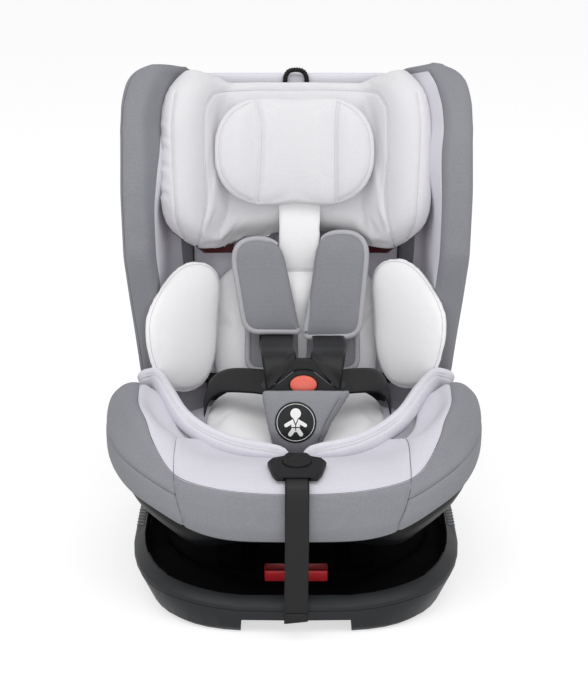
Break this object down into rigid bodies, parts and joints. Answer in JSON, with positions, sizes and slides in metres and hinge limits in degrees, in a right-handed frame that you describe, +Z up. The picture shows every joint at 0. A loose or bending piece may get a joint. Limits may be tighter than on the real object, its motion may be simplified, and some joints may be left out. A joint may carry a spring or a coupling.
{
  "type": "convertible child car seat",
  "caption": "Rotating convertible child car seat: padded bucket with side wings, sliding headrest and harness, reclining on a turntable over a low base with rear anchor arms.",
  "frame": {"origin": "on the floor under the middle of the base, on the swivel axis", "axes": "+Z up along the swivel axis, the occupant faces -Y, +X to the right in the picture"},
  "size_m": [0.4588, 0.5278, 0.6156],
  "materials": {
    "black_plastic": "fine grain moulded",
    "white_nylon": "smooth",
    "zinc_steel": "zinc plated",
    "red_plastic": "satin",
    "coral_plastic": "satin",
    "white_foam": "moulded bead foam",
    "grey_knit": "fine knit",
    "pale_lavender_knit": "fine knit",
    "off_white_knit": "fine knit",
    "black_webbing": "woven webbing",
    "maroon_plastic": "moulded"
  },
  "bodies": {
    "base": {"base_lower_shell": "black_plastic", "base_upper_shell": "black_plastic", "swivel_bearing_ring": "white_nylon"},
    "anchor_arms": {"anchor_carriage": "zinc_steel", "anchor_connector_left": "black_plastic", "anchor_connector_right": "black_plastic"},
    "anchor_hook_l": {"anchor_hook_left": "zinc_steel"},
    "anchor_hook_r": {"anchor_hook_right": "zinc_steel"},
    "anchor_button_l": {"anchor_button_left": "red_plastic"},
    "anchor_button_r": {"anchor_button_right": "red_plastic"},
    "table": {"turntable": "black_plastic", "swivel_retainer": "zinc_steel", "recline_rail_left": "zinc_steel", "recline_rail_right": "zinc_steel", "handle_housing": "black_plastic"},
    "handle": {"release_handle": "red_plastic"},
    "swivel_pin": {"rotation_lock_pin": "zinc_steel"},
    "recline_pin": {"recline_bolt": "zinc_steel"},
    "seat": {"seat_shell": "black_plastic", "seat_foam": "white_foam", "recline_shoe_left": "zinc_steel", "recline_shoe_right": "zinc_steel", "recline_rack": "zinc_steel", "seat_cover": "grey_knit", "back_shell": "black_plastic", "back_cover": "pale_lavender_knit", "wing_foam_left": "white_foam", "wing_foam_right": "white_foam", "wing_cover_left": "grey_knit", "wing_cover_right": "grey_knit", "rear_cover": "black_plastic", "headrest_rack": "zinc_steel", "insert_seat_pad": "off_white_knit", "insert_back": "off_white_knit", "torso_pad_left": "off_white_knit", "torso_pad_right": "off_white_knit", "front_roll_left": "pale_lavender_knit", "front_roll_right": "pale_lavender_knit", "shoulder_strap_left": "black_webbing", "shoulder_strap_right": "black_webbing", "shoulder_pad_left": "grey_knit", "shoulder_pad_right": "grey_knit", "lap_strap_left": "black_webbing", "lap_strap_right": "black_webbing", "harness_tongue_left": "black_plastic", "harness_tongue_right": "black_plastic", "buckle_housing": "black_plastic", "crotch_strap": "black_webbing", "crotch_pad": "grey_knit", "adjuster_cover": "black_plastic", "adjuster_strap": "black_webbing", "harness_yoke": "zinc_steel"},
    "headrest": {"headrest_shell": "maroon_plastic", "headrest_cover": "off_white_knit", "head_pillow": "off_white_knit"},
    "headrest_pull": {"headrest_pull_rod": "zinc_steel", "headrest_pull_loop": "black_plastic"},
    "buckle_press": {"buckle_button": "coral_plastic"},
    "adjuster_press": {"adjuster_button": "black_plastic"}
  },
  "joints": [
    {"name": "swivel", "type": "hinge", "parent": "base", "child": "table", "pos_m": [0, 0, 0], "axis": [0, 0, 1], "continuous": true, "deforming": ["adjuster_strap"]},
    {"name": "recline", "type": "hinge", "parent": "table", "child": "seat", "pos_m": [0, 0, 0.62], "axis": [-1, 0, 0], "range_deg": [0, 14], "deforming": ["adjuster_strap"]},
    {"name": "headrest_height", "type": "slide", "parent": "seat", "child": "headrest", "axis": [0, 0.2419, 0.9703], "range_m": [0, 0.104]},
    {"name": "headrest_release", "type": "slide", "parent": "headrest", "child": "headrest_pull", "axis": [0, 0.2419, 0.9703], "range_m": [0, 0.008], "stiffness_N_per_m": 600},
    {"name": "release_pull", "type": "slide", "parent": "table", "child": "handle", "axis": [0, -1, 0], "range_m": [0, 0.01], "stiffness_N_per_m": 800},
    {"name": "swivel_lock", "type": "slide", "parent": "table", "child": "swivel_pin", "axis": [0, 0, 1], "range_m": [0, 0.008]},
    {"name": "recline_lock", "type": "slide", "parent": "table", "child": "recline_pin", "axis": [0, 0, -1], "range_m": [0, 0.008]},
    {"name": "buckle_button_press", "type": "slide", "parent": "seat", "child": "buckle_press", "axis": [0, 0.9511, -0.309], "range_m": [0, 0.004], "stiffness_N_per_m": 800},
    {"name": "adjuster_button_press", "type": "slide", "parent": "seat", "child": "adjuster_press", "axis": [0, 0.225, -0.9744], "range_m": [0, 0.004], "stiffness_N_per_m": 800},
    {"name": "anchor_extend", "type": "slide", "parent": "base", "child": "anchor_arms", "axis": [0, 1, 0], "range_m": [0, 0.1]},
    {"name": "anchor_button_left_press", "type": "slide", "parent": "anchor_arms", "child": "anchor_button_l", "axis": [0, -1, 0], "range_m": [0, 0.008], "stiffness_N_per_m": 800},
    {"name": "anchor_button_right_press", "type": "slide", "parent": "anchor_arms", "child": "anchor_button_r", "axis": [0, -1, 0], "range_m": [0, 0.008], "stiffness_N_per_m": 800},
    {"name": "anchor_hook_left_turn", "type": "hinge", "parent": "anchor_arms", "child": "anchor_hook_l", "pos_m": [-0.14, 0.221, 0.0145], "axis": [-1, 0, 0], "range_deg": [0, 15]},
    {"name": "anchor_hook_right_turn", "type": "hinge", "parent": "anchor_arms", "child": "anchor_hook_r", "pos_m": [0.14, 0.221, 0.0145], "axis": [-1, 0, 0], "range_deg": [0, 15]}
  ],
  "couplings": [
    {"joint": "swivel_lock", "follows": "release_pull", "ratio": 0.8},
    {"joint": "recline_lock", "follows": "release_pull", "ratio": 0.8},
    {"joint": "anchor_hook_left_turn", "follows": "anchor_button_left_press", "rad_per_m": 32.5},
    {"joint": "anchor_hook_right_turn", "follows": "anchor_button_right_press", "rad_per_m": 32.5}
  ]
}
